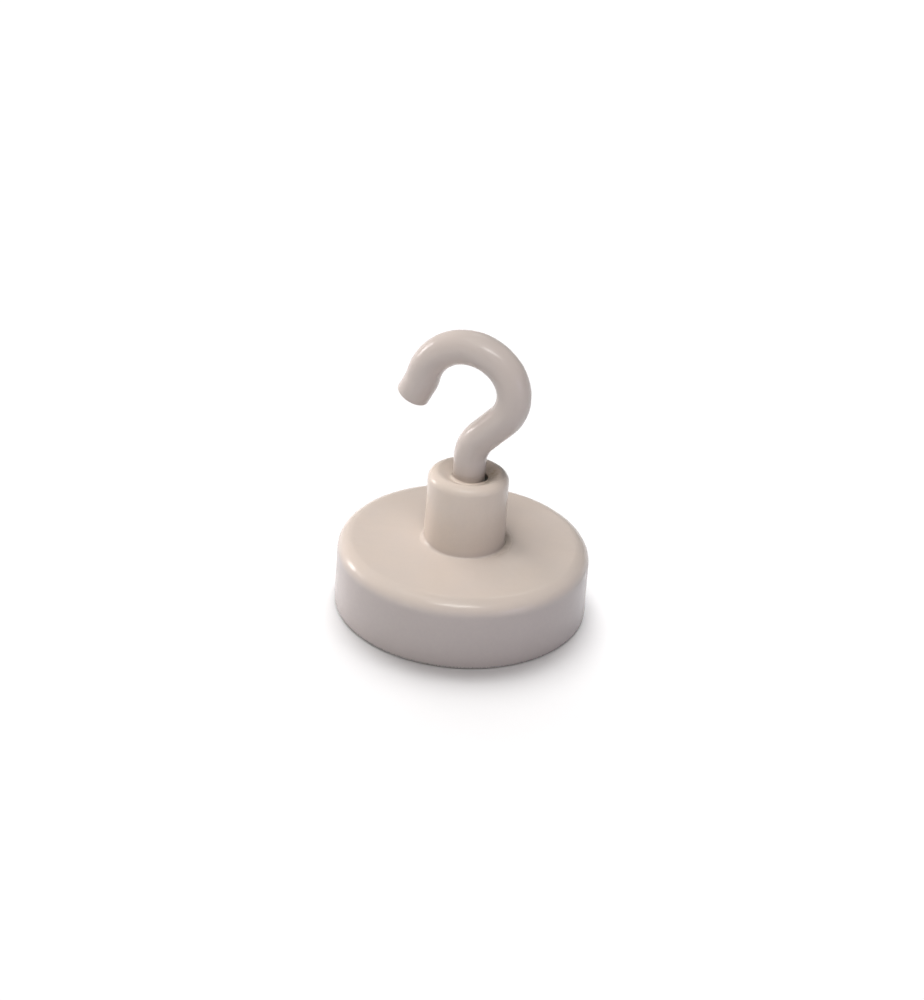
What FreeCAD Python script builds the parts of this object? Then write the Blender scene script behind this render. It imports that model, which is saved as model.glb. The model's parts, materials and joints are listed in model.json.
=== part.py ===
"""Small white hook magnet: a steel cup with a ring magnet potted in it, a threaded bush riveted through the
cup's floor, and a bent wire hook screwed into the bush.

Frame: millimetres, +Z up along the bush, origin at the centre of the magnetic face. The hook lies in the XZ
plane with its mouth towards -X.
"""

import FreeCAD
import Part
import Sketcher

import math
import os

SHEET = "Dimensions"

# Driving dimensions: alias, value in millimetres, degrees or a count, and what it is.
DIMENSIONS = (
    ("cup_diameter", 25.0, "outside diameter of the cup at its rim"),
    ("cup_height", 7.0, "rim to the outside of the floor"),
    ("cup_draft", 0.12, "how much less the radius is at the shoulder than at the rim"),
    ("cup_shoulder", 1.5, "outside radius between wall and floor"),
    ("cup_wall", 1.6, "wall thickness at the rim"),
    ("cup_floor", 1.5, "floor thickness"),
    ("cup_corner", 0.4, "inside radius between wall and floor"),
    ("rim_break", 0.12, "chamfer on the ground rim"),
    ("bush_foot_diameter", 8.0, "bush where it stands on the cup"),
    ("bush_top_diameter", 7.8, "bush at its top"),
    ("bush_height", 7.4, "bush above the cup"),
    ("bush_edge", 0.85, "radius round the bush's top edge"),
    ("foot_lip", 0.05, "thickness of the thin edge round the bush's foot"),
    ("foot_spread", 0.5, "how far that edge stands out from the bush"),
    ("foot_fillet", 0.45, "radius between that edge and the bush's side"),
    ("spigot_diameter", 5.5, "bush where it passes through the cup's floor"),
    ("rivet_diameter", 6.8, "spread end of the spigot, inside the cup"),
    ("rivet_thickness", 0.7, "spread end of the spigot"),
    ("rivet_round", 0.25, "round on the spread end's outer edge"),
    ("mouth_diameter", 5.6, "countersink at the top of the bore"),
    ("throat_diameter", 3.9, "countersink where it ends, just wider than the thread"),
    ("mouth_depth", 0.55, "countersink at the top of the bore"),
    ("pitch", 0.7, "M4 coarse pitch"),
    ("nut_crest_diameter", 3.4, "bore between the grooves of the internal thread"),
    ("nut_root_diameter", 4.04, "bottom of the internal thread's grooves"),
    ("nut_turns", 12, "grooves in the bush"),
    ("bolt_crest_diameter", 3.9, "crest of the hook's thread"),
    ("bolt_turns", 8, "crests on the hook's shank"),
    ("crest_width", 0.1, "flat on top of a thread's crest"),
    ("root_width", 0.14, "flat at the bottom of a thread's groove"),
    ("flank_angle", 30, "half of the thread's included angle"),
    ("thread_overlap", 0.1, "how far a ridge or groove reaches past the surface it starts from"),
    ("shank_depth", 6.6, "hook's shank inside the bush"),
    ("first_crest", 0.55, "shank's end to the middle of its first crest"),
    ("shank_break", 0.3, "chamfer on the shank's end"),
    ("magnet_diameter", 20.6, "ring magnet, outside"),
    ("magnet_bore", 7.6, "ring magnet, inside"),
    ("magnet_recess", 0.1, "magnet's face above the rim's plane"),
    ("magnet_break", 0.25, "chamfer on the magnet's edges"),
    ("glue_thickness", 0.2, "glue between magnet and floor"),
    ("potting_recess", 0.25, "potting's face above the rim's plane"),
    ("wire_diameter", 3.25, "hook's wire, paint included"),
    ("neck_rise", 1.35, "straight wire above the bush"),
    ("neck_radius", 4.0, "first bend, away from the mouth"),
    ("neck_angle", 42.5, "first bend, away from the mouth"),
    ("link_length", 2.85, "straight wire between the neck and the heel"),
    ("heel_radius", 3.75, "bend back towards the mouth"),
    ("heel_angle", 90, "bend back towards the mouth"),
    ("crown_radius", 4.9, "wide bend over the top"),
    ("crown_angle", 120.5, "wide bend over the top"),
    ("flare_radius", 2.7, "slight outward bend before the tip"),
    ("flare_angle", 14.5, "slight outward bend before the tip"),
    ("tip_length", 1.7, "straight wire at the tip"),
    ("tip_round", 0.35, "round on the cut end of the wire"),
)


class Size:
    """A number that also carries the expression it comes from, so that both a first position and a
    spreadsheet binding can be had from one formula."""

    def __init__(self, value, text):
        self.value = value
        self.text = text

    def combined(self, other, sign, result):
        return Size(result, f"({self.text} {sign} {other.text})")

    def __add__(self, other):
        return self.combined(other, "+", self.value + other.value)

    def __sub__(self, other):
        return self.combined(other, "-", self.value - other.value)

    def __mul__(self, other):
        return self.combined(other, "*", self.value * other.value)

    def half(self):
        return Size(self.value / 2, f"({self.text} / 2)")

    def times_tan(self, angle):
        """This size times the tangent of an angle in degrees."""
        return Size(
            self.value * math.tan(math.radians(angle.value)),
            f"({self.text} * tan({angle.text} * 1 deg))",
        )


ZERO = Size(0.0, "0")
ONE = Size(1.0, "1")


def make_sheet(doc):
    """Writes the driving dimensions into the document's spreadsheet."""
    sheet = doc.addObject("Spreadsheet::Sheet", SHEET)
    for row, (alias, value, meaning) in enumerate(DIMENSIONS, start=1):
        sheet.set(f"A{row}", alias)
        sheet.set(f"B{row}", str(value))
        sheet.set(f"C{row}", meaning)
        sheet.setAlias(f"B{row}", alias)
    doc.recompute()
    return sheet


def size(alias):
    """The dimension of that name as a Size bound to its cell."""
    values = {name: value for name, value, _ in DIMENSIONS}
    return Size(float(values[alias]), f"{SHEET}.{alias}")


def bind(target, prop, value):
    """Binds a property of a document object to a Size."""
    target.setExpression(prop, value.text)


# ---------------------------------------------------------------- sketches and features


def new_body(doc, name):
    body = doc.addObject("PartDesign::Body", name)
    body.Label = name
    return body


def new_sketch(body, plane, name):
    """A sketch on one of the body's own origin planes."""
    sketch = body.newObject("Sketcher::SketchObject", name)
    origin_plane = next(f for f in body.Origin.OriginFeatures if f.Role == plane)
    sketch.AttachmentSupport = (origin_plane, [""])
    sketch.MapMode = "FlatFace"
    return sketch


def constrain(sketch, name, value, *what):
    """Adds a dimension to a sketch under a name and binds it to a Size."""
    index = sketch.addConstraint(Sketcher.Constraint(*what, value.value))
    sketch.renameConstraint(index, name)
    bind(sketch, f"Constraints.{name}", value)


def place_point(sketch, geometry, position, x, y, name):
    """Fixes one end of an edge at (x, y) of the sketch."""
    if x is ZERO:
        sketch.addConstraint(Sketcher.Constraint("PointOnObject", geometry, position, -2))
    else:
        constrain(sketch, f"{name}_x", x, "DistanceX", -1, 1, geometry, position)
    if y is ZERO:
        sketch.addConstraint(Sketcher.Constraint("PointOnObject", geometry, position, -1))
    else:
        constrain(sketch, f"{name}_y", y, "DistanceY", -1, 1, geometry, position)


def polygon_sketch(body, name, corners):
    """A closed outline of straight edges in the XZ plane. Each corner is (radius, height)."""
    sketch = new_sketch(body, "XZ_Plane", name)
    points = [FreeCAD.Vector(x.value, y.value, 0) for x, y in corners]
    count = len(points)
    for i in range(count):
        sketch.addGeometry(Part.LineSegment(points[i], points[(i + 1) % count]), False)
    for i in range(count):
        after = (i + 1) % count
        sketch.addConstraint(Sketcher.Constraint("Coincident", i, 2, after, 1))
    for i, (x, y) in enumerate(corners):
        place_point(sketch, i, 1, x, y, f"corner{i}")
    return sketch


def turned(body, name, corners, kind="PartDesign::Revolution"):
    """The outline turned once round Z: material added, or cut away by a Groove."""
    sketch = polygon_sketch(body, f"{name}_outline", corners)
    feature = body.newObject(kind, name)
    feature.Profile = sketch
    feature.ReferenceAxis = (sketch, ["V_Axis"])
    feature.Angle = 360.0
    body.Document.recompute()
    return feature


def repeated_up(body, name, feature, occurrences, step):
    """The feature again and again along +Z, one step apart."""
    pattern = body.newObject("PartDesign::LinearPattern", name)
    pattern.Originals = [feature]
    z_axis = next(f for f in body.Origin.OriginFeatures if f.Role == "Z_Axis")
    pattern.Direction = (z_axis, [""])
    bind(pattern, "Occurrences", occurrences)
    bind(pattern, "Length", step * (occurrences - ONE))
    body.Tip = pattern
    body.Document.recompute()
    return pattern


def circle_edges(feature, *circles):
    """Names of the feature's round edges with these (radius, height) pairs."""
    found = []
    for index, edge in enumerate(feature.Shape.Edges, start=1):
        curve = edge.Curve
        if not isinstance(curve, Part.Circle):
            continue
        for radius, height in circles:
            same_radius = abs(curve.Radius - radius.value) < 1e-3
            if same_radius and abs(curve.Center.z - height.value) < 1e-3:
                found.append(f"Edge{index}")
    return found


def eased(body, name, feature, value, edges, kind="PartDesign::Fillet"):
    """A fillet, or a chamfer, of one size on the named edges."""
    if not edges:
        raise RuntimeError(f"{name}: no edge to ease")
    ease = body.newObject(kind, name)
    ease.Base = (feature, edges)
    bind(ease, "Radius" if kind.endswith("Fillet") else "Size", value)
    body.Document.recompute()
    return ease


def require_multiple(body, total, single, count):
    """Stops if a repeated feature didn't change the volume by as many times as it is repeated."""
    if single <= 0 or abs(total - single * count.value) > 1e-3 * total:
        raise RuntimeError(f"{body.Label}: repeats change {total:.4f} mm3, one changes {single:.4f}")


# ---------------------------------------------------------------- heights and outlines that parts share


def levels():
    """Heights above the magnetic face."""
    top_of_cup = size("cup_height")
    ceiling = top_of_cup - size("cup_floor")
    top_of_bush = top_of_cup + size("bush_height")
    shank_end = top_of_bush - size("shank_depth")
    return {
        "cup_top": top_of_cup,
        "ceiling": ceiling,
        "rivet_bottom": ceiling - size("rivet_thickness"),
        "bush_top": top_of_bush,
        "shank_end": shank_end,
        "first_crest": shank_end + size("first_crest"),
        "magnet_bottom": size("magnet_recess"),
        "magnet_top": ceiling - size("glue_thickness"),
        "potting_bottom": size("potting_recess"),
    }


def thread_outline(middle, surface, outer, flat):
    """One ridge of a 60 degree thread, or the groove that receives one: a flat at the outer radius whose
    flanks widen inwards to the surface it stands on, and a little past it so that no skin is left between.
    middle is the height of its centre line."""
    half_flat = flat.half()
    inner = surface - size("thread_overlap")
    half_base = (outer - inner).times_tan(size("flank_angle")) + half_flat
    return [
        (inner, middle - half_base),
        (outer, middle - half_flat),
        (outer, middle + half_flat),
        (inner, middle + half_base),
    ]


# ---------------------------------------------------------------- the parts


def steel_cup(doc, z):
    """Pressed pot with a drafted wall, a rounded shoulder, a ground rim and a hole for the bush."""
    body = new_body(doc, "steel_cup")
    rim = size("cup_diameter").half()
    shoulder = rim - size("cup_draft")
    inside = rim - size("cup_wall")
    hole = size("spigot_diameter").half()
    pot = turned(
        body,
        "pot",
        [
            (hole, z["cup_top"]),
            (shoulder, z["cup_top"]),
            (rim, ZERO),
            (inside, ZERO),
            (inside, z["ceiling"]),
            (hole, z["ceiling"]),
        ],
    )
    edges = circle_edges(pot, (shoulder, z["cup_top"]))
    pot = eased(body, "shoulder_round", pot, size("cup_shoulder"), edges)
    edges = circle_edges(pot, (inside, z["ceiling"]))
    pot = eased(body, "corner_round", pot, size("cup_corner"), edges)
    edges = circle_edges(pot, (rim, ZERO), (inside, ZERO))
    eased(body, "rim_chamfer", pot, size("rim_break"), edges, "PartDesign::Chamfer")
    return body


def threaded_bush(doc, z):
    """Turned boss that stands on the cup, with a spigot spread like a rivet inside it and an M4 bore right
    through. The thread is closed rings on the pitch, which leave the hook free to turn."""
    body = new_body(doc, "threaded_bush")
    bore = size("nut_crest_diameter").half()
    foot = size("bush_foot_diameter").half()
    top = size("bush_top_diameter").half()
    lip = foot + size("foot_spread")
    lip_top = z["cup_top"] + size("foot_lip")
    spigot = size("spigot_diameter").half()
    rivet = size("rivet_diameter").half()
    mouth = size("mouth_diameter").half()
    throat = size("throat_diameter").half()
    boss = turned(
        body,
        "boss",
        [
            (mouth, z["bush_top"]),
            (top, z["bush_top"]),
            (foot, lip_top),
            (lip, lip_top),
            (lip, z["cup_top"]),
            (spigot, z["cup_top"]),
            (spigot, z["ceiling"]),
            (rivet, z["ceiling"]),
            (rivet, z["rivet_bottom"]),
            (bore, z["rivet_bottom"]),
            (bore, z["bush_top"] - size("mouth_depth")),
            (throat, z["bush_top"] - size("mouth_depth")),
        ],
    )
    edges = circle_edges(boss, (top, z["bush_top"]))
    boss = eased(body, "top_round", boss, size("bush_edge"), edges)
    edges = circle_edges(boss, (foot, lip_top))
    boss = eased(body, "foot_round", boss, size("foot_fillet"), edges)
    edges = circle_edges(boss, (rivet, z["rivet_bottom"]))
    boss = eased(body, "rivet_edge", boss, size("rivet_round"), edges)

    below = (size("nut_turns") - size("bolt_turns")) * size("pitch")
    root = size("nut_root_diameter").half()
    outline = thread_outline(z["first_crest"] - below, bore, root, size("root_width"))
    groove = turned(body, "thread_groove", outline, "PartDesign::Groove")
    grooves = repeated_up(body, "thread_grooves", groove, size("nut_turns"), size("pitch"))
    one_cut = boss.Shape.Volume - groove.Shape.Volume
    all_cuts = boss.Shape.Volume - grooves.Shape.Volume
    require_multiple(body, all_cuts, one_cut, size("nut_turns"))
    return body


def wire_path(body, z):
    """The hook's centre line, as tangent straights and arcs from the shank's end to the tip."""
    sketch = new_sketch(body, "XZ_Plane", "wire_path")
    straight_up = size("shank_depth") + size("neck_rise")
    # Each arc is (radius, angle, side): side -1 turns right, away from the mouth, and +1 turns left.
    steps = (
        ("shank", straight_up),
        ("neck", size("neck_radius"), size("neck_angle"), -1),
        ("link", size("link_length")),
        ("heel", size("heel_radius"), size("heel_angle"), 1),
        ("crown", size("crown_radius"), size("crown_angle"), 1),
        ("flare", size("flare_radius"), size("flare_angle"), -1),
        ("tip", size("tip_length")),
    )
    here = FreeCAD.Vector(0, z["shank_end"].value, 0)
    heading = math.pi / 2
    last_end = None
    for index, step in enumerate(steps):
        along = FreeCAD.Vector(math.cos(heading), math.sin(heading), 0)
        if len(step) == 2:
            name, length = step
            there = here + along * length.value
            sketch.addGeometry(Part.LineSegment(here, there), False)
            start, end = 1, 2
            constrain(sketch, f"{name}_length", length, "Distance", index)
        else:
            name, radius, angle, side = step
            turn = side * math.radians(angle.value)
            to_centre = FreeCAD.Vector(-along.y, along.x, 0) * (side * radius.value)
            centre = here + to_centre
            first = math.atan2(here.y - centre.y, here.x - centre.x)
            low, high = sorted((first, first + turn))
            circle = Part.Circle(centre, FreeCAD.Vector(0, 0, 1), radius.value)
            sketch.addGeometry(Part.ArcOfCircle(circle, low, high), False)
            start, end = (1, 2) if side > 0 else (2, 1)
            last = first + turn
            there = centre + FreeCAD.Vector(math.cos(last), math.sin(last), 0) * radius.value
            heading += turn
            constrain(sketch, f"{name}_radius", radius, "Radius", index)
            index_of_angle = sketch.addConstraint(Sketcher.Constraint("Angle", index, abs(turn)))
            sketch.renameConstraint(index_of_angle, f"{name}_angle")
            bind(sketch, f"Constraints.{name}_angle", angle)
        if last_end is None:
            place_point(sketch, index, start, ZERO, z["shank_end"], "start")
            sketch.addConstraint(Sketcher.Constraint("Vertical", index))
        else:
            joined = Sketcher.Constraint("Tangent", index - 1, last_end, index, start)
            sketch.addConstraint(joined)
        last_end = end
        here = there
    body.Document.recompute()
    return sketch


def screw_hook(doc, z):
    """One length of wire: a threaded shank, a neck that bends away, and a wide crown over the axis."""
    body = new_body(doc, "screw_hook")
    wire = size("wire_diameter").half()
    section = new_sketch(body, "XY_Plane", "wire_section")
    bind(section, "AttachmentOffset.Base.z", z["shank_end"])
    circle = Part.Circle(FreeCAD.Vector(), FreeCAD.Vector(0, 0, 1), wire.value)
    section.addGeometry(circle, False)
    section.addConstraint(Sketcher.Constraint("Coincident", 0, 3, -1, 1))
    constrain(section, "wire_radius", wire, "Radius", 0)
    path = wire_path(body, z)

    pipe = body.newObject("PartDesign::AdditivePipe", "bent_wire")
    pipe.Profile = section
    pipe.Spine = (path, [f"Edge{i + 1}" for i in range(path.GeometryCount)])
    doc.recompute()

    edges = circle_edges(pipe, (wire, z["shank_end"]))
    pipe = eased(body, "shank_chamfer", pipe, size("shank_break"), edges, "PartDesign::Chamfer")
    edges = [
        f"Edge{index}"
        for index, edge in enumerate(pipe.Shape.Edges, start=1)
        if is_tip_edge(edge, path, wire.value)
    ]
    pipe = eased(body, "tip_edge", pipe, size("tip_round"), edges)

    crest = size("bolt_crest_diameter").half()
    outline = thread_outline(z["first_crest"], wire, crest, size("crest_width"))
    ridge = turned(body, "thread_ridge", outline)
    ridges = repeated_up(body, "thread_ridges", ridge, size("bolt_turns"), size("pitch"))
    one_ridge = ridge.Shape.Volume - pipe.Shape.Volume
    all_ridges = ridges.Shape.Volume - pipe.Shape.Volume
    require_multiple(body, all_ridges, one_ridge, size("bolt_turns"))
    return body


def is_tip_edge(edge, path, radius):
    """True for the round edge of the wire's cut end."""
    if not isinstance(edge.Curve, Part.Circle) or abs(edge.Curve.Radius - radius) > 1e-3:
        return False
    ends = path.Shape.Edges[-1].Vertexes
    tip = min((v.Point for v in ends), key=lambda p: p.x)
    return (edge.Curve.Center - tip).Length < 1e-2


def ring(doc, name, inner, outer, bottom, top):
    """A plain ring, or a disc if inner is ZERO."""
    body = new_body(doc, name)
    corners = [(inner, bottom), (outer, bottom), (outer, top), (inner, top)]
    return body, turned(body, f"{name}_ring", corners)


def ring_magnet(doc, z):
    """Sintered ferrite ring with its edges broken."""
    inner = size("magnet_bore").half()
    outer = size("magnet_diameter").half()
    body, blank = ring(doc, "ring_magnet", inner, outer, z["magnet_bottom"], z["magnet_top"])
    rims = [(r, h) for r in (inner, outer) for h in (z["magnet_bottom"], z["magnet_top"])]
    edges = circle_edges(blank, *rims)
    eased(body, "magnet_chamfer", blank, size("magnet_break"), edges, "PartDesign::Chamfer")
    return body


def magnet_glue(doc, z):
    """Film of glue between the magnet's back and the cup's floor."""
    inner = size("magnet_bore").half()
    outer = size("magnet_diameter").half()
    return ring(doc, "magnet_glue", inner, outer, z["magnet_top"], z["ceiling"])[0]


def potting_ring(doc, z):
    """Cured resin between the magnet and the cup's wall, rounded to the cup's inside corner."""
    inner = size("magnet_diameter").half()
    outer = size("cup_diameter").half() - size("cup_wall")
    body, blank = ring(doc, "potting_ring", inner, outer, z["potting_bottom"], z["ceiling"])
    edges = circle_edges(blank, (outer, z["ceiling"]))
    eased(body, "potting_corner", blank, size("cup_corner"), edges)
    return body


def centre_plug(doc, z):
    """Cured resin that fills the magnet's bore under and around the bush's spread end."""
    body = new_body(doc, "centre_plug")
    bore = size("magnet_bore").half()
    rivet = size("rivet_diameter").half()
    plug = turned(
        body,
        "plug",
        [
            (ZERO, z["potting_bottom"]),
            (bore, z["potting_bottom"]),
            (bore, z["ceiling"]),
            (rivet, z["ceiling"]),
            (rivet, z["rivet_bottom"]),
            (ZERO, z["rivet_bottom"]),
        ],
    )
    edges = circle_edges(plug, (rivet, z["rivet_bottom"]))
    eased(body, "plug_corner", plug, size("rivet_round"), edges)
    return body


# ---------------------------------------------------------------- building, checking and writing


def check(doc, bodies):
    """Stops on a failed feature or a bad solid, which recompute() alone doesn't."""
    failed = [o.Name for o in doc.Objects if {"Invalid", "Error"} & set(o.State)]
    if failed:
        raise RuntimeError(f"failed objects: {failed}")
    for body in bodies:
        shape = body.Shape
        if shape.isNull() or not shape.isValid() or len(shape.Solids) != 1:
            raise RuntimeError(f"{body.Label}: not one valid solid")
        print(f"{body.Label}: {shape.Volume:.2f} mm3, {len(shape.Faces)} faces")


def main():
    doc = FreeCAD.newDocument("HookMagnet")
    make_sheet(doc)
    z = levels()
    makers = (
        steel_cup,
        threaded_bush,
        screw_hook,
        ring_magnet,
        magnet_glue,
        potting_ring,
        centre_plug,
    )
    bodies = [make(doc, z) for make in makers]
    doc.recompute()
    check(doc, bodies)
    os.makedirs("parts", exist_ok=True)
    for body in bodies:
        body.Shape.exportStep(f"parts/{body.Label}.step")


main()
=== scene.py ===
"""A small white painted hook magnet on a pale floor.

The three painted steel pieces (cup, bush and hook) are built again here with their coat of paint: lumps, a
soft fillet where the bush stands on the cup, a bead round the stem, a rounded drop on the hook's tip. The
ferrite ring and the resin under it get their ground, chipped and dished faces. Lengths are in millimetres
until a mesh is made, and in metres from there on.
"""
import json
import math

import bmesh
import bpy
from mathutils import Matrix, Vector, noise

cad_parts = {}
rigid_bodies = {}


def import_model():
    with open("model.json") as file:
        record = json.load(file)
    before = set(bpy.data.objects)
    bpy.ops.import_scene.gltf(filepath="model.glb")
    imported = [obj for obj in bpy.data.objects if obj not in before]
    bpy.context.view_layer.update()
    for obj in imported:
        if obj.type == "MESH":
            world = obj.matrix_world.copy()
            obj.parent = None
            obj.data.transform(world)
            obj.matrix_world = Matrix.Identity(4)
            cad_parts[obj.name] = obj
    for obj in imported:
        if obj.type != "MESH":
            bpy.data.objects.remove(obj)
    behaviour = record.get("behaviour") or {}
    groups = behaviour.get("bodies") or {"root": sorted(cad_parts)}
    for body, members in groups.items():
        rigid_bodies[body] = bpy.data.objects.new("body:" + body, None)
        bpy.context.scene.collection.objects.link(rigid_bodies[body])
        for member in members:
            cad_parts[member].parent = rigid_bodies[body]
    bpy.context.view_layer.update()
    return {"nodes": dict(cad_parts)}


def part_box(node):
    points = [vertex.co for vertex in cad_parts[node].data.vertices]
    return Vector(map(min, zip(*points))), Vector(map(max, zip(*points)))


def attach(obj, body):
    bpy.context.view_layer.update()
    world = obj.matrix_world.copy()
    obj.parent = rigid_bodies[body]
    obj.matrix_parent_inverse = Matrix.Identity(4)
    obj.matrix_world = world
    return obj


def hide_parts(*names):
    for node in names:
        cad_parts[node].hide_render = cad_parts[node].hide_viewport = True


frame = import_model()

MM = 0.001

# ---------------------------------------------------------------- sizes, in millimetres


def node_box(node):
    """The lowest and highest corners of a CAD node, in millimetres."""
    low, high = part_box(node)
    return low / MM, high / MM


_, CUP_HIGH = node_box("steel_cup")
BUSH_LOW, BUSH_HIGH = node_box("threaded_bush")
HOOK_LOW, _ = node_box("screw_hook")
MAGNET_LOW, MAGNET_HIGH = node_box("ring_magnet")
POTTING_LOW, POTTING_HIGH = node_box("potting_ring")
PLUG_LOW, PLUG_HIGH = node_box("centre_plug")

# The cup. The wall leans in a little, from the rim to the shoulder.
CUP_RIM = 12.5
CUP_SHOULDER = 12.38
CUP_TOP = CUP_HIGH.z
CUP_ROUND = 1.5
CUP_INSIDE = 10.9
CUP_CEILING = 5.5
CUP_CORNER = 0.4
RIM_BREAK = 0.12
SPIGOT = 2.75

# The bush. RIVET is the radius of the head inside the cup. The bore's thread is closed rings, and stops
# RELIEF_DEPTH below the top.
BUSH_FOOT = 4.0
BUSH_TOP_RADIUS = 3.9
BUSH_TOP = BUSH_HIGH.z
BUSH_ROUND = 0.85
BUSH_BOTTOM = BUSH_LOW.z
RIVET = 3.4
RIVET_ROUND = 0.25
BORE = 1.7
GROOVE_ROOT = 2.02
GROOVE_FLAT = 0.14
GROOVES = 12
PITCH = 0.7
RELIEF_DEPTH = 0.65

# The paint on the bush. Angles are in degrees about the bush's axis, from +X towards +Y.
FOOT_WIDE = 212.0
FOOT_TIGHT = 30.0
MOUTH_WIDE = 14.0
DISH_RADIUS = 3.05
DISH_DEPTH = 0.60

# How far the coat stands back from the CAD's face on average, so that lumps hardly pass the CAD's box.
COAT_LOSS = 0.012

# The hook. WIRE and STEM are radii, of the painted wire and of its straight part in the bush.
WIRE = 1.625
STEM = 1.58
SHANK_END = HOOK_LOW.z
CREST = 1.95
CREST_FLAT = 0.1
CRESTS = 8
FIRST_CREST = SHANK_END + 0.55
SHANK_BREAK = 0.3
TIP_ROUND = 0.42
TIP_DOME = 0.10
RING_STEP = 0.12
THREAD_STEP = 0.035

# The magnet and its resin.
MAGNET_BORE = 3.8
MAGNET_RADIUS = 10.3
MAGNET_BREAK = 0.25
POTTING_SAG = 0.10
PLUG_SAG = 0.16
POLE = 0.02

# The hook's centre line: straights have a length, and bends a radius and an angle in degrees, positive
# towards the mouth.
WIRE_STEPS = (
    ("straight", 6.6 + 1.35),
    ("bend", 4.0, -42.5),
    ("straight", 2.85),
    ("bend", 3.75, 90.0),
    ("bend", 4.9, 120.5),
    ("bend", 2.7, -14.5),
    ("straight", 1.7),
)

# ---------------------------------------------------------------- the camera

CAMERA_AZIMUTH = 22.39
CAMERA_ELEVATION = 28.34
CAMERA_ROLL = 4.10
CAMERA_DISTANCE = 0.162
CAMERA_LENS = 60.0
CAMERA_TARGET = Vector((-0.52, 0.0, 11.14)) * MM

# How bright the white backdrop is in the paint's reflections.
GLOSS_SHARE = 0.35


def direction(azimuth, elevation):
    """The way from the object to something seen at that azimuth and elevation, in degrees."""
    a = math.radians(azimuth)
    e = math.radians(elevation)
    return Vector((math.sin(a) * math.cos(e), -math.cos(a) * math.cos(e), math.sin(e)))


def make_camera():
    data = bpy.data.cameras.new("camera")
    data.lens = CAMERA_LENS
    data.clip_start = 0.005
    camera = bpy.data.objects.new("camera", data)
    back = direction(CAMERA_AZIMUTH, CAMERA_ELEVATION)
    level = Vector((0, 0, 1)).cross(back).normalized()
    upright = back.cross(level)
    roll = math.radians(CAMERA_ROLL)
    right = level * math.cos(roll) + upright * math.sin(roll)
    up = back.cross(right)
    place = Matrix((right, up, back)).transposed().to_4x4()
    place.translation = CAMERA_TARGET + back * CAMERA_DISTANCE
    camera.matrix_world = place
    bpy.context.scene.collection.objects.link(camera)
    bpy.context.scene.camera = camera


# ---------------------------------------------------------------- small curves


def smooth(low, high, value):
    """0 at low, 1 at high, and a smooth step between."""
    t = min(max((value - low) / (high - low), 0.0), 1.0)
    return t * t * (3 - 2 * t)


def near(angle, centre, spread):
    """1 where the angle is at the centre, fading to 0 at the spread to either side. Degrees."""
    off = abs((angle - centre + 180.0) % 360.0 - 180.0)
    return smooth(spread, 0.0, off)


def line(start, end, steps):
    """Points after start, up to end."""
    return [
        (start[0] + (end[0] - start[0]) * i / steps, start[1] + (end[1] - start[1]) * i / steps)
        for i in range(1, steps + 1)
    ]


def arc(centre, radius, first, last, steps):
    """Points of an arc from one angle to another in degrees, both ends included."""
    points = []
    for i in range(steps + 1):
        t = math.radians(first + (last - first) * i / steps)
        points.append((centre[0] + radius * math.cos(t), centre[1] + radius * math.sin(t)))
    return points


def lumps(point):
    """Uneven thickness of the dried paint at a place on the object, in millimetres."""
    return (
        0.020 * noise.noise(point * 0.33)
        + 0.011 * noise.noise(point * 0.85 + Vector((7.0, 3.0, 5.0)))
        + 0.004 * noise.noise(point * 2.1 + Vector((1.0, 9.0, 2.0)))
    )


# ---------------------------------------------------------------- meshes


def turn(segments, profile_at, coat=None):
    """A solid of revolution whose outline may change round the axis.

    profile_at(angle) gives the closed outline as (radius, height) points in millimetres, always the same
    number of them. coat(point) gives how far a point stands out along its normal.
    Returns (vertices, faces)."""
    vertices = []
    count = 0
    for k in range(segments):
        angle = 360.0 * k / segments
        cos, sin = math.cos(math.radians(angle)), math.sin(math.radians(angle))
        outline = profile_at(angle)
        count = len(outline)
        for i, (radius, height) in enumerate(outline):
            if coat:
                before = outline[i - 1]
                after = outline[(i + 1) % count]
                along = Vector((after[0] - before[0], after[1] - before[1])).normalized()
                stand = coat(Vector((radius * cos, radius * sin, height)))
                radius += along.y * stand
                height -= along.x * stand
            vertices.append((radius * cos, radius * sin, height))
    faces = []
    for k in range(segments):
        a = k * count
        b = (k + 1) % segments * count
        for i in range(count):
            j = (i + 1) % count
            faces.append((a + i, b + i, b + j, a + j))
    return vertices, faces


def new_piece(name, vertices, faces, body, replaced, sharp=38.0):
    """A smooth-shaded closed mesh that rides on a body and stands for a CAD node."""
    mesh = bpy.data.meshes.new(name)
    mesh.from_pydata([Vector(v) * MM for v in vertices], [], faces)
    work = bmesh.new()
    work.from_mesh(mesh)
    bmesh.ops.remove_doubles(work, verts=work.verts, dist=1e-8)
    bmesh.ops.recalc_face_normals(work, faces=work.faces)
    limit = math.radians(sharp)
    for face in work.faces:
        face.smooth = True
    for edge in work.edges:
        edge.smooth = edge.is_boundary or edge.calc_face_angle(0.0) < limit
    work.to_mesh(mesh)
    work.free()
    piece = bpy.data.objects.new(name, mesh)
    bpy.context.scene.collection.objects.link(piece)
    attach(piece, body)
    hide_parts(replaced)
    return piece


def mark(piece, name, value_at):
    """Stores a number from 0 to 1 on every vertex, worked out from its place in millimetres."""
    attribute = piece.data.attributes.new(name, "FLOAT", "POINT")
    values = [value_at(v.co / MM) for v in piece.data.vertices]
    attribute.data.foreach_set("value", values)


def radius_of(point):
    return math.hypot(point.x, point.y)


# ---------------------------------------------------------------- materials


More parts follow.
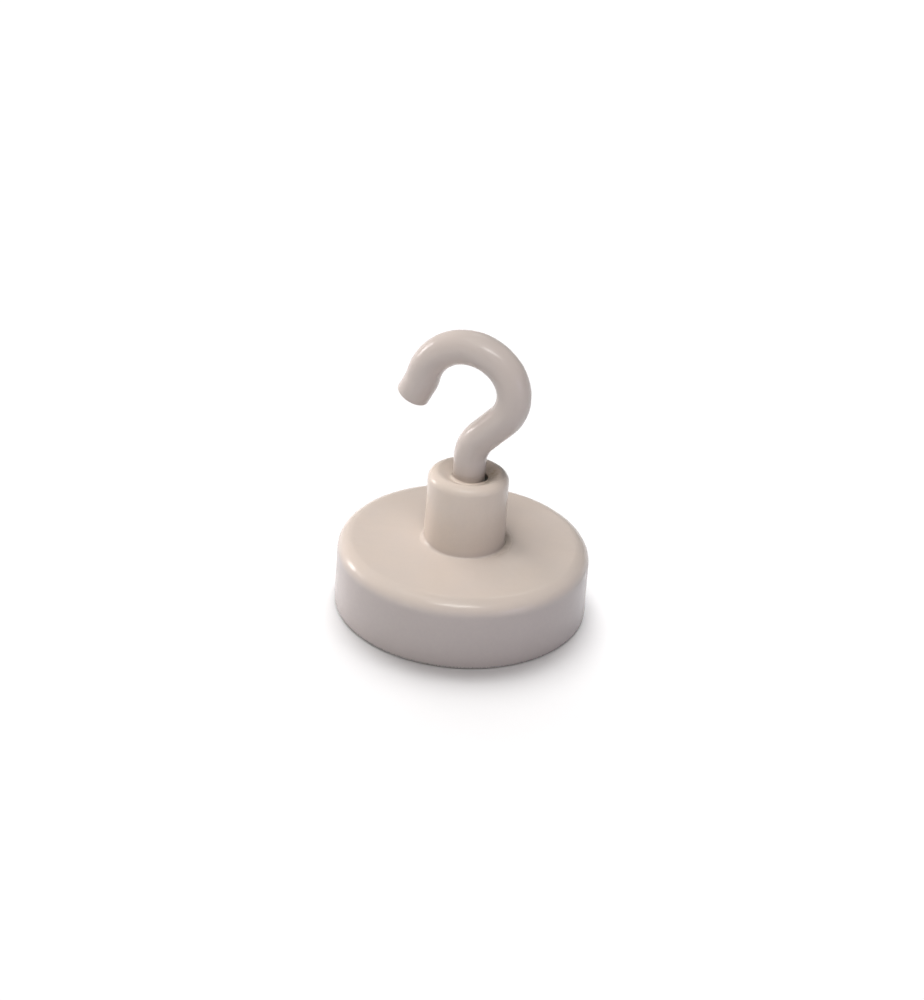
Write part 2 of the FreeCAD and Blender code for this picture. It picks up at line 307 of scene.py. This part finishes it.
class Shader:
    """A material with short ways to add nodes. Places are read in millimetres on the piece itself."""

    def __init__(self, name):
        self.material = bpy.data.materials.new(name)
        self.material.use_nodes = True
        self.tree = self.material.node_tree
        self.surface = self.tree.nodes["Principled BSDF"]
        coordinates = self.tree.nodes.new("ShaderNodeTexCoord")
        to_mm = self.add("ShaderNodeVectorMath", {0: coordinates.outputs["Object"]}, operation="SCALE")
        to_mm.inputs["Scale"].default_value = 1 / MM
        self.place = to_mm.outputs[0]

    def add(self, kind, inputs, **settings):
        node = self.tree.nodes.new(kind)
        for key, value in settings.items():
            setattr(node, key, value)
        for key, value in inputs.items():
            if isinstance(value, bpy.types.NodeSocket):
                self.tree.links.new(value, node.inputs[key])
            else:
                node.inputs[key].default_value = value
        return node

    def noise(self, scale, detail=2.0, roughness=0.5, place=None):
        """Noise with that many features to a millimetre, about 0 to 1."""
        settings = {"Vector": place or self.place, "Scale": scale, "Detail": detail, "Roughness": roughness}
        return self.add("ShaderNodeTexNoise", settings).outputs["Fac"]

    def stretched(self, x, y, z):
        """The place scaled differently along each axis, for scratches."""
        inputs = {0: self.place, 1: (x, y, z)}
        return self.add("ShaderNodeVectorMath", inputs, operation="MULTIPLY").outputs[0]

    def band(self, value, low, high, bottom=0.0, top=1.0):
        """Maps low..high to bottom..top, and holds outside."""
        settings = {"Value": value, "From Min": low, "From Max": high, "To Min": bottom, "To Max": top}
        return self.add("ShaderNodeMapRange", settings).outputs["Result"]

    def times(self, a, b):
        return self.add("ShaderNodeMath", {0: a, 1: b}, operation="MULTIPLY").outputs[0]

    def plus(self, a, b):
        return self.add("ShaderNodeMath", {0: a, 1: b}, operation="ADD").outputs[0]

    def blend(self, share, first, second):
        """The first colour where the share is 0, and the second where it is 1."""
        node = self.add("ShaderNodeMix", {}, data_type="RGBA")
        for index, value in ((0, share), (6, first), (7, second)):
            if isinstance(value, bpy.types.NodeSocket):
                self.tree.links.new(value, node.inputs[index])
            else:
                node.inputs[index].default_value = value if index == 0 else (*value, 1.0)
        return node.outputs[2]

    def marked(self, name):
        """A number that mark() stored on the piece's vertices."""
        return self.add("ShaderNodeAttribute", {}, attribute_name=name).outputs["Fac"]

    def bump(self, height, distance, strength=1.0, below=None):
        """Bump whose height of 1 is that distance in millimetres."""
        inputs = {"Height": height, "Distance": distance * MM, "Strength": strength}
        if below:
            inputs["Normal"] = below
        return self.add("ShaderNodeBump", inputs).outputs["Normal"]

    def finish(self, **sockets):
        """Links or sets the surface's own inputs."""
        for name, value in sockets.items():
            socket = self.surface.inputs[name.replace("_", " ")]
            if isinstance(value, bpy.types.NodeSocket):
                self.tree.links.new(value, socket)
            else:
                socket.default_value = value
        return self.material


WARM_WHITE = (0.600, 0.518, 0.452)
COOL_WHITE = (0.582, 0.510, 0.456)
# Grey painted shade for the cup's wall and the hook.
SHADE_GREY = (0.420, 0.378, 0.372)
# Brown painted shade for crevices, gaps and the stem's shadow on the bush.
SHADE_BROWN = (0.235, 0.185, 0.135)
STEEL = (0.44, 0.43, 0.42)


def paint_material():
    """Off-white gloss enamel: faint mottling, orange peel, painted shade in the crevices, a greyer painted
    shade on the cup's wall and the hook, thin paint on edges.
    """
    shader = Shader("white_enamel")
    mottle = shader.noise(0.22, 3.0, 0.55)
    colour = shader.blend(shader.band(mottle, 0.35, 0.65), COOL_WHITE, WARM_WHITE)
    # Painted shade: greyer where the mark says.
    colour = shader.blend(shader.marked("painted_grey_shade"), colour, SHADE_GREY)
    fine = shader.band(shader.noise(3.2, 3.0, 0.6), 0.3, 0.7, 0.0, 0.16)
    colour = shader.blend(fine, colour, (0.50, 0.445, 0.405))
    # Painted shade: brown where the crevice mark is set, broken up by noise.
    broken = shader.band(shader.noise(1.7, 4.0, 0.65), 0.3, 0.65, 0.55, 1.0)
    painted_shade = shader.times(shader.marked("painted_crevice_shade"), broken)
    colour = shader.blend(painted_shade, colour, SHADE_BROWN)
    ragged = shader.band(shader.noise(5.5, 4.0, 0.7), 0.38, 0.62)
    worn = shader.times(shader.marked("edge"), ragged)
    colour = shader.blend(worn, colour, STEEL)
    # Cycles guides its denoiser differently above a roughness of about 0.27, so a range that crosses it shows
    # as blotches. Only the painted shade does.
    rough = shader.band(shader.noise(0.6, 3.0, 0.6), 0.3, 0.7, 0.205, 0.265)
    rough = shader.plus(rough, shader.times(painted_shade, 0.3))
    peel = shader.bump(shader.noise(1.15, 2.0, 0.45), 0.012)
    grain = shader.bump(shader.noise(7.0, 3.0, 0.55), 0.0012, below=peel)
    return shader.finish(
        Base_Color=colour,
        Roughness=rough,
        Normal=grain,
        Metallic=shader.times(worn, 0.8),
        Specular_IOR_Level=0.42,
    )


def ground_steel_material():
    """The rim's bare face, ground flat along X."""
    shader = Shader("ground_steel")
    scratches = shader.noise(1.0, 5.0, 0.7, shader.stretched(0.35, 14.0, 14.0))
    patches = shader.noise(0.5, 3.0, 0.5)
    colour = shader.blend(shader.band(scratches, 0.3, 0.7), (0.40, 0.39, 0.37), (0.60, 0.59, 0.57))
    colour = shader.blend(shader.band(patches, 0.55, 0.75, 0.0, 0.35), colour, (0.33, 0.25, 0.18))
    rough = shader.band(scratches, 0.2, 0.8, 0.28, 0.52)
    normal = shader.bump(scratches, 0.006)
    return shader.finish(Base_Color=colour, Metallic=1.0, Roughness=rough, Normal=normal)


def plated_steel_material():
    """Dull zinc plate on the threads and inside the pot."""
    shader = Shader("plated_steel")
    cloud = shader.noise(0.9, 4.0, 0.6)
    colour = shader.blend(shader.band(cloud, 0.3, 0.7), (0.47, 0.46, 0.42), (0.60, 0.60, 0.57))
    rough = shader.band(cloud, 0.25, 0.75, 0.34, 0.5)
    normal = shader.bump(shader.noise(4.0, 3.0, 0.6), 0.003)
    return shader.finish(Base_Color=colour, Metallic=1.0, Roughness=rough, Normal=normal)


def ferrite_material():
    """Sintered ferrite: charcoal, fine grained, with grinding lines and paler broken edges."""
    shader = Shader("ferrite")
    grain = shader.noise(9.0, 4.0, 0.7)
    lines = shader.noise(1.0, 4.0, 0.6, shader.stretched(9.0, 0.25, 9.0))
    colour = shader.blend(shader.band(grain, 0.3, 0.7), (0.030, 0.030, 0.033), (0.065, 0.065, 0.070))
    colour = shader.blend(shader.band(lines, 0.5, 0.7, 0.0, 0.4), colour, (0.095, 0.095, 0.10))
    chipped = shader.times(shader.marked("edge"), shader.band(shader.noise(1.8, 4.0, 0.6), 0.45, 0.6))
    colour = shader.blend(chipped, colour, (0.13, 0.128, 0.125))
    rough = shader.band(lines, 0.3, 0.7, 0.55, 0.78)
    ground = shader.bump(lines, 0.005)
    normal = shader.bump(grain, 0.004, below=ground)
    return shader.finish(Base_Color=colour, Roughness=rough, Normal=normal)


def resin_material():
    """Cured black potting resin: glossy, dished, with a few pinholes."""
    shader = Shader("potting_resin")
    cloud = shader.noise(0.7, 3.0, 0.5)
    colour = shader.blend(shader.band(cloud, 0.3, 0.7), (0.010, 0.010, 0.012), (0.028, 0.026, 0.025))
    cells = shader.add("ShaderNodeTexVoronoi", {"Vector": shader.place, "Scale": 1.3}).outputs["Distance"]
    holes = shader.band(cells, 0.0, 0.11)
    ripples = shader.bump(shader.noise(0.9, 2.0, 0.4), 0.03)
    normal = shader.bump(holes, 0.05, below=ripples)
    rough = shader.band(cloud, 0.25, 0.75, 0.10, 0.24)
    return shader.finish(Base_Color=colour, Roughness=rough, Normal=normal)


def adhesive_material():
    """The hidden film of amber glue behind the magnet."""
    shader = Shader("adhesive")
    cloud = shader.noise(0.8, 4.0, 0.6)
    colour = shader.blend(shader.band(cloud, 0.3, 0.7), (0.36, 0.25, 0.10), (0.55, 0.43, 0.22))
    rough = shader.band(cloud, 0.25, 0.75, 0.3, 0.5)
    normal = shader.bump(shader.noise(2.5, 3.0, 0.5), 0.01)
    return shader.finish(Base_Color=colour, Roughness=rough, Normal=normal)


def floor_material():
    """Matte white sweep with the faintest unevenness."""
    shader = Shader("floor_white")
    cloud = shader.noise(0.02, 3.0, 0.5)
    colour = shader.blend(shader.band(cloud, 0.3, 0.7), (0.90, 0.90, 0.905), (0.915, 0.912, 0.91))
    normal = shader.bump(shader.noise(1.5, 3.0, 0.5), 0.01)
    return shader.finish(Base_Color=colour, Roughness=0.9, Normal=normal)


PAINT = paint_material()
GROUND_STEEL = ground_steel_material()
PLATED_STEEL = plated_steel_material()
FERRITE = ferrite_material()
RESIN = resin_material()
ADHESIVE = adhesive_material()


def paint_where(piece, material_at):
    """Gives each face the material that material_at picks for its centre, in millimetres."""
    materials = []
    for face in piece.data.polygons:
        material = material_at(face.center / MM)
        if material not in materials:
            materials.append(material)
            piece.data.materials.append(material)
        face.material_index = materials.index(material)


def foot_shade(point):
    """Painted shade in the corner between cup and bush, the same on both, on the side where the fillet is
    thin.
    """
    angle = math.degrees(math.atan2(point.y, point.x))
    low = smooth(CUP_TOP + 0.35, CUP_TOP + 0.02, point.z) * smooth(CUP_TOP - 0.5, CUP_TOP - 0.3, point.z)
    return low * smooth(5.0, 4.2, radius_of(point)) * 0.75 * near(angle, FOOT_TIGHT, 75.0)


# ---------------------------------------------------------------- the cup


def cup_outline(angle):
    """From the spigot's hole over the top, down the wall, across the rim and up the inside."""
    points = [(SPIGOT, CUP_TOP)]
    points += line(points[-1], (CUP_SHOULDER - CUP_ROUND, CUP_TOP), 34)[:-1]
    points += arc((CUP_SHOULDER - CUP_ROUND, CUP_TOP - CUP_ROUND), CUP_ROUND, 90, 1, 20)
    points += line(points[-1], (CUP_RIM, RIM_BREAK), 26)
    points += line(points[-1], (CUP_RIM - RIM_BREAK, 0), 2)
    points += line(points[-1], (CUP_INSIDE + RIM_BREAK, 0), 8)
    points += line(points[-1], (CUP_INSIDE, RIM_BREAK), 2)
    points += line(points[-1], (CUP_INSIDE, CUP_CEILING - CUP_CORNER), 8)
    points += arc((CUP_INSIDE - CUP_CORNER, CUP_CEILING - CUP_CORNER), CUP_CORNER, 9, 90, 6)
    points += line(points[-1], (SPIGOT, CUP_CEILING), 10)
    points += line(points[-1], (SPIGOT, CUP_TOP), 3)[:-1]
    return points


def cup_coat(point):
    """Paint is on the outside only, and its lumps fade out at the rim."""
    radius = radius_of(point)
    outside = smooth(CUP_INSIDE + 0.5, CUP_INSIDE + 0.9, radius) if point.z < CUP_TOP - 1.6 else 1.0
    if radius < CUP_INSIDE + 0.2 and point.z < CUP_TOP - 0.5:
        outside = 0.0
    return outside * smooth(0.05, 0.6, point.z) * (lumps(point) - COAT_LOSS)


def make_cup():
    vertices, faces = turn(384, cup_outline, cup_coat)
    cup = new_piece("cup", vertices, faces, "magnet_base", "steel_cup")
    # Painted shade round the bush's foot.
    mark(cup, "painted_crevice_shade", foot_shade)
    mark(cup, "edge", lambda p: smooth(0.34, 0.1, p.z) if radius_of(p) > 12.2 else 0.0)
    # Painted shade: the wall is greyer than the top.
    mark(cup, "painted_grey_shade", lambda p: 0.30 + 0.70 * smooth(CUP_TOP - 0.4, CUP_TOP - 1.7, p.z))

    def material_at(centre):
        if centre.z < RIM_BREAK:
            return GROUND_STEEL
        inside = radius_of(centre) < CUP_INSIDE + 0.1 and centre.z < CUP_TOP - 0.1
        return PLATED_STEEL if inside else PAINT

    paint_where(cup, material_at)


# ---------------------------------------------------------------- the bush


def foot_radius(angle):
    """The paint's fillet is fuller on one side and almost missing on the other."""
    wave = noise.noise(Vector((math.cos(math.radians(angle)), math.sin(math.radians(angle)), 4.0)) * 1.6)
    return 0.22 + 0.26 * near(angle, FOOT_WIDE, 60.0) - 0.11 * near(angle, FOOT_TIGHT, 60.0) + 0.03 * wave


def mouth_radius(angle):
    """Paint closes the gap round the stem except on one side."""
    return STEM + 0.02 + 0.30 * near(angle, MOUTH_WIDE, 62.0)


def dish(radius):
    """Height of the bush's top, which sinks towards the stem and levels out again beside it."""
    share = min(max((DISH_RADIUS - radius) / (DISH_RADIUS - STEM), 0.0), 1.0)
    return BUSH_TOP - DISH_DEPTH * (0.35 * share + 0.65 * smooth(0.0, 1.0, share))


def groove(middle):
    """One groove of the internal thread, from below its middle to above."""
    half_flat = GROOVE_FLAT / 2
    half_base = (GROOVE_ROOT - BORE) * math.tan(math.radians(30)) + half_flat
    return [
        (BORE, middle - half_base),
        (GROOVE_ROOT, middle - half_flat),
        (GROOVE_ROOT, middle + half_flat),
        (BORE, middle + half_base),
    ]


def bush_outline(angle):
    """From the mouth over the top, down the side and the foot, round the rivet and up the bore."""
    mouth = mouth_radius(angle)
    foot = foot_radius(angle)
    bead = 0.13 + 0.12 * near(angle, FOOT_WIDE + 25.0, 80.0) - 0.06 * near(angle, MOUTH_WIDE, 62.0)
    lip = dish(mouth + bead) + bead
    points = arc((mouth + bead, lip), bead, 180, 265, 8)
    flat_end = BUSH_TOP_RADIUS - BUSH_ROUND
    start = points[-1][0]
    for i in range(1, 16):
        radius = start + (flat_end - start) * i / 16
        points.append((radius, dish(radius)))
    points += arc((flat_end, BUSH_TOP - BUSH_ROUND), BUSH_ROUND, 90, 2, 18)
    points += line(points[-1], (BUSH_FOOT, CUP_TOP + foot), 20)
    points += arc((BUSH_FOOT + foot, CUP_TOP + foot), foot, 188, 268, 10)
    points += line(points[-1], (BUSH_FOOT + foot + 0.3, CUP_TOP - 0.05), 4)
    points += line(points[-1], (SPIGOT, CUP_TOP - 0.05), 4)
    points += line(points[-1], (SPIGOT, CUP_CEILING), 2)
    points += line(points[-1], (RIVET, CUP_CEILING), 2)
    points += arc((RIVET - RIVET_ROUND, BUSH_BOTTOM + RIVET_ROUND), RIVET_ROUND, 0, -90, 4)
    points += line(points[-1], (BORE, BUSH_BOTTOM), 4)
    for i in range(GROOVES):
        points += groove(FIRST_CREST + (i - GROOVES + CRESTS) * PITCH)
    points += [(BORE, BUSH_TOP - RELIEF_DEPTH - 0.15), (mouth, BUSH_TOP - RELIEF_DEPTH)]
    points += line(points[-1], (mouth, lip), 3)[:-1]
    return points


def bush_coat(point):
    """Paint is on the side and the top, with the cup's own lumps, so the two meet at the foot."""
    radius = radius_of(point)
    if point.z < CUP_TOP - 0.2 or radius < BORE + 0.2:
        return 0.0
    return smooth(1.9, 2.5, radius) * (lumps(point) - COAT_LOSS)


def make_bush():
    vertices, faces = turn(288, bush_outline, bush_coat)
    bush = new_piece("bush", vertices, faces, "magnet_base", "threaded_bush")

    def painted_crevice_shade(p):
        angle = math.degrees(math.atan2(p.y, p.x))
        radius = radius_of(p)
        # Painted shade deep in the gap on one side of the stem, and a painted shadow of the stem across the
        # top beside it. Lower down, the foot's painted shade.
        if p.z > BUSH_TOP - 1.5 and radius < 3.8:
            gap = near(angle, MOUTH_WIDE + 12.0, 90.0)
            deep = 0.7 * gap * smooth(BUSH_TOP - DISH_DEPTH + 0.08, BUSH_TOP - DISH_DEPTH - 0.1, p.z)
            return max(deep, near(angle, MOUTH_WIDE + 14.0, 72.0) * smooth(3.8, 2.3, radius))
        return foot_shade(p)

    mark(bush, "painted_crevice_shade", painted_crevice_shade)
    mark(bush, "edge", lambda p: 0.0)

    # Painted shade: greyer at the foot, to meet the cup's wall, and a touch on the top.
    def painted_grey_shade(p):
        return 0.30 * smooth(CUP_TOP + 0.9, CUP_TOP + 0.15, p.z) + 0.08 * smooth(BUSH_TOP - 1.5, BUSH_TOP, p.z)

    mark(bush, "painted_grey_shade", painted_grey_shade)

    def material_at(centre):
        in_bore = radius_of(centre) < 2.1 and centre.z < BUSH_TOP - RELIEF_DEPTH
        return PLATED_STEEL if in_bore or centre.z < CUP_TOP - 0.2 else PAINT

    paint_where(bush, material_at)


# ---------------------------------------------------------------- the hook


def wire_stations():
    """(centre, heading, length so far) along the hook's centre line, in the XZ plane."""
    place = Vector((0.0, SHANK_END))
    heading = 90.0
    done = 0.0
    stations = []
    for kind, *numbers in WIRE_STEPS:
        if kind == "straight":
            (length,) = numbers
            steps = max(round(length / RING_STEP), 1)
            along = Vector((math.cos(math.radians(heading)), math.sin(math.radians(heading))))
            for i in range(steps):
                stations.append((place + along * (length * i / steps), heading, done + length * i / steps))
            place = place + along * length
            done += length
        else:
            radius, angle = numbers
            length = radius * math.radians(abs(angle))
            steps = round(length / RING_STEP)
            side = math.copysign(1.0, angle)
            left = Vector((-math.sin(math.radians(heading)), math.cos(math.radians(heading))))
            centre = place + left * (radius * side)
            for i in range(steps):
                at = math.radians(heading + angle * i / steps)
                spot = centre - Vector((-math.sin(at), math.cos(at))) * (radius * side)
                stations.append((spot, math.degrees(at), done + length * i / steps))
            heading += angle
            at = math.radians(heading)
            place = centre - Vector((-math.sin(at), math.cos(at))) * (radius * side)
            done += length
    stations.append((place, heading, done))
    return stations


def ridge_radius(height):
    """Radius of the threaded shank at a height: rings with 60 degree flanks on a plain core."""
    if height > FIRST_CREST + (CRESTS - 0.5) * PITCH:
        return 0.0
    turns = (height - FIRST_CREST) / PITCH
    off = abs(turns - max(min(round(turns), CRESTS - 1), 0)) * PITCH
    return CREST - max(off - CREST_FLAT / 2, 0.0) / math.tan(math.radians(30))


def ring_of(centre, heading, radius_at, segments):
    """One ring of vertices square to the heading. radius_at(point) gives each its radius."""
    h = math.radians(heading)
    across = Vector((-math.sin(h), 0.0, math.cos(h)))
    out = Vector((0.0, 1.0, 0.0))
    middle = Vector((centre.x, 0.0, centre.y))
    ring = []
    for k in range(segments):
        t = 2 * math.pi * k / segments
        way = across * math.cos(t) + out * math.sin(t)
        ring.append(middle + way * radius_at(middle + way * WIRE))
    return ring


def hook_rings(segments):
    """Rings from the shank's end to the tip's last small ring."""
    rings = []
    stations = wire_stations()
    shank_top = FIRST_CREST + CRESTS * PITCH

    def plain(radius):
        return lambda point: radius

    start = stations[0][0]
    for inset, rise in ((0.9, 0.0), (SHANK_BREAK, 0.0), (0.0, SHANK_BREAK)):
        rings.append(ring_of(start + Vector((0, rise)), 90.0, plain(STEM - inset), segments))
    height = SHANK_END + SHANK_BREAK
    while height < shank_top:
        height += THREAD_STEP
        radius = max(STEM, ridge_radius(height))
        rings.append(ring_of(Vector((0.0, height)), 90.0, plain(radius), segments))

    def painted(stem_height, inset):
        """The stem is thinner and smoother than the wire. stem_height is how far up it the ring is."""
        thick = WIRE + (STEM - WIRE) * smooth(BUSH_TOP + 3.2, BUSH_TOP + 0.6, stem_height)
        share = smooth(BUSH_TOP + 0.1, BUSH_TOP + 1.2, stem_height)
        return lambda point: thick - inset + share * 1.2 * lumps(point * 1.15 + Vector((31.0, 5.0, 0.0)))

    past_stem = BUSH_TOP + 9.0
    for centre, heading, done in stations:
        if centre.y <= shank_top + 0.05 and done < 10.0:
            continue
        stem_height = centre.y if done < 14.0 else past_stem
        rings.append(ring_of(centre, heading, painted(stem_height, 0.0), segments))
    end, heading, _ = stations[-1]
    along = Vector((math.cos(math.radians(heading)), math.sin(math.radians(heading))))
    edge = TIP_ROUND
    setback = edge - 0.04
    for i in range(1, 9):
        t = math.radians(90.0 * i / 9)
        at = end + along * (edge * math.sin(t) - setback)
        rings.append(ring_of(at, heading, painted(past_stem, edge * (1 - math.cos(t))), segments))
    for share in (0.8, 0.6, 0.4, 0.2, 0.07):
        at = end + along * (edge - setback + TIP_DOME * (1 - share * share))
        rings.append(ring_of(at, heading, plain((WIRE - edge) * share), segments))
    return rings


def make_hook():
    segments = 80
    rings = hook_rings(segments)
    vertices = [v for ring in rings for v in ring]
    faces = []
    for r in range(len(rings) - 1):
        for k in range(segments):
            n = (k + 1) % segments
            faces.append((r * segments + k, r * segments + n, (r + 1) * segments + n, (r + 1) * segments + k))
    faces.append(tuple(range(segments)))
    faces.append(tuple((len(rings) - 1) * segments + k for k in range(segments)))
    hook = new_piece("hook", vertices, faces, "hook", "screw_hook")
    # Painted shade where the stem goes into the bush, and the whole hook painted greyer as shade.
    mark(hook, "painted_crevice_shade", lambda p: 0.35 * smooth(BUSH_TOP + 0.35, BUSH_TOP - 0.1, p.z))
    mark(hook, "edge", lambda p: 0.0)
    mark(hook, "painted_grey_shade", lambda p: 0.65)
    paint_where(hook, lambda centre: PLATED_STEEL if centre.z < BUSH_TOP - 0.6 else PAINT)


# ---------------------------------------------------------------- the magnet and its resin


def magnet_outline(angle):
    """A ring with broken edges whose lower edges are chipped here and there."""
    inner, outer = MAGNET_BORE, MAGNET_HIGH.x
    low, high = MAGNET_LOW.z, MAGNET_HIGH.z
    break_at = MAGNET_BREAK
    way = Vector((math.cos(math.radians(angle)), math.sin(math.radians(angle)), 0.0))
    chip = 0.35 * max(noise.noise(way * 9.0 + Vector((0, 0, 8.0))) - 0.18, 0.0)
    nick = 0.35 * max(noise.noise(way * 6.0 + Vector((0, 0, 2.0))) - 0.18, 0.0)
    points = [(inner, low + break_at + nick)]
    points += line(points[-1], (inner + break_at + nick, low), 3)
    points += line(points[-1], (outer - break_at - chip, low), 24)
    points += line(points[-1], (outer, low + break_at + chip), 3)
    points += line(points[-1], (outer, high - break_at), 8)
    points += line(points[-1], (outer - break_at, high), 2)
    points += line(points[-1], (inner + break_at, high), 10)
    points += line(points[-1], (inner, high - break_at), 2)
    points += line(points[-1], (inner, low + break_at + nick), 6)[:-1]
    return points


def make_magnet():
    vertices, faces = turn(288, magnet_outline)
    magnet = new_piece("ferrite_ring", vertices, faces, "magnet_base", "ring_magnet")
    low = MAGNET_LOW.z

    def edge(p):
        """The lower corners, where the ring chips."""
        middle = MAGNET_BORE + 0.8 < radius_of(p) < MAGNET_RADIUS - 0.7
        return 0.0 if middle else smooth(low + 0.7, low + 0.02, p.z)

    mark(magnet, "edge", edge)
    paint_where(magnet, lambda centre: FERRITE)


def potting_outline(angle):
    """A dished ring of resin between the magnet and the wall."""
    inner, outer = MAGNET_RADIUS, POTTING_HIGH.x
    low, high = POTTING_LOW.z, POTTING_HIGH.z
    points = []
    for i in range(13):
        share = i / 12
        sag = POTTING_SAG * (1 - (2 * share - 1) ** 2)
        points.append((inner + (outer - inner) * share, low + sag))
    points += line(points[-1], (outer, high - CUP_CORNER), 6)
    points += arc((outer - CUP_CORNER, high - CUP_CORNER), CUP_CORNER, 15, 90, 5)
    points += line(points[-1], (inner, high), 2)
    points += line(points[-1], (inner, low), 6)[:-1]
    return points


def make_potting():
    vertices, faces = turn(240, potting_outline)
    ring = new_piece("potting_seal", vertices, faces, "magnet_base", "potting_ring")
    paint_where(ring, lambda centre: RESIN)


def plug_outline(angle):
    """A dished disc of resin in the magnet's bore, under the rivet's head, with a pinhole on the axis."""
    outer = MAGNET_BORE
    low, high = PLUG_LOW.z, PLUG_HIGH.z
    ceiling = BUSH_BOTTOM
    points = []
    for i in range(25):
        share = i / 24
        points.append((POLE + (outer - POLE) * share, low + PLUG_SAG * (1 - share**2.5)))
    points += line(points[-1], (outer, high), 8)
    points += line(points[-1], (RIVET, high), 1)
    points += line(points[-1], (RIVET, ceiling + RIVET_ROUND), 1)
    points += arc((RIVET - RIVET_ROUND, ceiling + RIVET_ROUND), RIVET_ROUND, -20, -90, 4)
    points += line(points[-1], (POLE, ceiling), 6)
    return points


def make_plug():
    vertices, faces = turn(192, plug_outline)
    plug = new_piece("centre_seal", vertices, faces, "magnet_base", "centre_plug")
    paint_where(plug, lambda centre: RESIN)


# ---------------------------------------------------------------- the studio


def make_floor():
    mesh = bpy.data.meshes.new("floor")
    half = 4.0
    corners = [(-half, -half, 0), (half, -half, 0), (half, half, 0), (-half, half, 0)]
    mesh.from_pydata(corners, [], [(0, 1, 2, 3)])
    floor = bpy.data.objects.new("floor", mesh)
    mesh.materials.append(floor_material())
    bpy.context.scene.collection.objects.link(floor)
    return floor


def add_light(data, azimuth, elevation, distance, colour, receivers):
    """Puts a light at that place, facing the object. It lights only what is in the receivers' collection, and
    everything casts a shadow in its light."""
    data.color = colour
    light = bpy.data.objects.new(data.name, data)
    way = direction(azimuth, elevation)
    light.location = Vector((0, 0, 8 * MM)) + way * distance
    light.rotation_euler = way.to_track_quat("Z", "Y").to_euler()
    light.light_linking.receiver_collection = receivers
    bpy.context.scene.collection.objects.link(light)
    return light


def area_light(name, azimuth, elevation, distance, width, height, power, colour, receivers, gloss=True):
    """A soft box. Without gloss it isn't mirrored in the paint."""
    data = bpy.data.lights.new(name, "AREA")
    data.shape = "RECTANGLE"
    data.size = width
    data.size_y = height
    data.energy = power
    light = add_light(data, azimuth, elevation, distance, colour, receivers)
    light.visible_glossy = gloss


def far_light(name, azimuth, elevation, across, strength, colour, receivers):
    """A soft light that doesn't fade with distance, that many degrees across."""
    data = bpy.data.lights.new(name, "SUN")
    data.angle = math.radians(across)
    data.energy = strength
    add_light(data, azimuth, elevation, 1.0, colour, receivers)


def make_lights(floor):
    """The floor is lit from behind and a little from the front, as on a sweep that is burnt out to white, and
    throws light up at the object's sides. The object has lights of its own: overhead and left give the broad
    shading and aren't mirrored in the paint, the accents give the highlights, and below lights the underside
    when the floor is taken away."""
    on_floor = bpy.data.collections.new("lit_floor")
    on_object = bpy.data.collections.new("lit_object")
    on_floor.objects.link(floor)
    for piece in bpy.context.scene.objects:
        if piece.type == "MESH" and piece is not floor:
            on_object.objects.link(piece)

    far_light("sweep", 212, 62, 42, 2.62, (1.0, 1.0, 1.0), on_floor)
    area_light("sweep_wide", 202, 62, 1.20, 2.20, 0.70, 3.8, (1.0, 1.0, 1.0), on_floor)
    far_light("sweep_front", 22, 72, 46, 0.80, (1.0, 0.95, 0.94), on_floor)
    area_light("overhead", -24, 74, 1.20, 0.95, 0.60, 13.6, (1.0, 0.98, 0.94), on_object, gloss=False)
    area_light("left", -114, 9, 1.20, 0.50, 0.50, 12.6, (1.0, 0.93, 0.90), on_object, gloss=False)
    area_light("right", 72, 8, 1.20, 0.50, 0.40, 1.4, (0.84, 0.80, 1.0), on_object)
    area_light("below", 22, -60, 0.80, 0.60, 0.60, 5.0, (0.95, 0.96, 1.0), on_object)
    area_light("accent_front", 20, 58, 1.20, 0.56, 0.09, 3.5, (1.0, 0.97, 0.94), on_object)
    area_light("accent_left", -90, 13, 1.20, 0.26, 0.34, 3.2, (1.0, 0.95, 0.94), on_object)
    area_light("accent_back", 198, 50, 1.20, 0.40, 0.24, 0.5, (1.0, 0.98, 0.96), on_object)


def make_world():
    """White beyond the floor's edge, dimmer in the paint's reflections, and hardly any light of its own."""
    world = bpy.data.worlds.new("studio")
    world.use_nodes = True
    tree = world.node_tree
    shade = tree.nodes["Background"]
    shade.inputs["Color"].default_value = (0.86, 0.88, 1.0, 1.0)
    shade.inputs["Strength"].default_value = 0.03
    white = tree.nodes.new("ShaderNodeBackground")
    white.inputs["Color"].default_value = (1.0, 1.0, 1.0, 1.0)
    mix = tree.nodes.new("ShaderNodeMixShader")
    rays = tree.nodes.new("ShaderNodeLightPath")
    shown = tree.nodes.new("ShaderNodeMath")
    shown.operation = "MULTIPLY_ADD"
    tree.links.new(rays.outputs["Is Glossy Ray"], shown.inputs[0])
    shown.inputs[1].default_value = GLOSS_SHARE
    tree.links.new(rays.outputs["Is Camera Ray"], shown.inputs[2])
    tree.links.new(shown.outputs[0], mix.inputs[0])
    tree.links.new(shade.outputs[0], mix.inputs[1])
    tree.links.new(white.outputs[0], mix.inputs[2])
    tree.links.new(mix.outputs[0], tree.nodes["World Output"].inputs["Surface"])
    bpy.context.scene.world = world


bpy.context.scene.view_settings.view_transform = "Standard"
make_camera()
floor = make_floor()
make_cup()
make_bush()
make_hook()
make_magnet()
make_potting()
make_plug()
glue = frame["nodes"]["magnet_glue"]
glue.data.materials.clear()
glue.data.materials.append(ADHESIVE)
make_lights(floor)
make_world()
